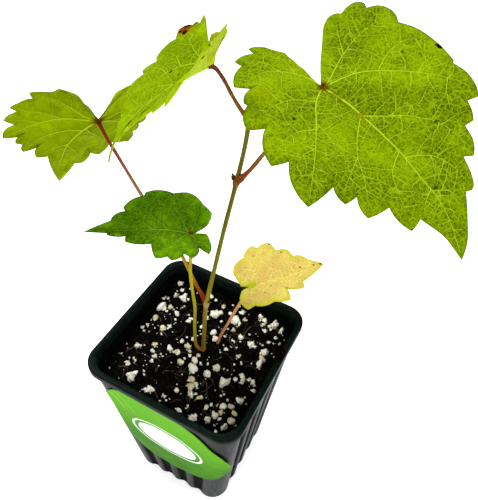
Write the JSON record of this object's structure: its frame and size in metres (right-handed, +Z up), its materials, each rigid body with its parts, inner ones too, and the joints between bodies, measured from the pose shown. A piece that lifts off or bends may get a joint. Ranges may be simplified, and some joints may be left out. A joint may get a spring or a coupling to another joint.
{
  "type": "potted grape vine",
  "caption": "Young muscadine grape vine with toothed leaves on long stalks, upright in a square black starter pot of dark soil with white granules.",
  "frame": {"origin": "centre of the pot's underside", "axes": "+Z up, -Y out of the labelled wall, +X to the right when facing that wall"},
  "size_m": [0.1174, 0.0629, 0.1989],
  "materials": {
    "pot": "satin black plastic",
    "label": "printed sticker",
    "soil": "damp peaty mix with white granules",
    "stem": "green young stem",
    "red_stalk": "reddish leaf stalk",
    "yellow_stalk": "yellow-green leaf stalk",
    "bright_leaf": "thin living leaf",
    "dark_leaf": "thin living leaf",
    "yellow_leaf": "thin yellowed leaf"
  },
  "bodies": {
    "root": {"pot": "pot", "label": "label", "soil": "soil", "stem": "stem", "petiole_large": "red_stalk", "petiole_folded": "red_stalk", "petiole_left": "red_stalk", "petiole_dark": "yellow_stalk", "petiole_yellow": "red_stalk", "blade_large": "bright_leaf", "blade_folded": "bright_leaf", "blade_left": "bright_leaf", "blade_dark": "dark_leaf", "blade_yellow": "yellow_leaf"}
  },
  "joints": []
}
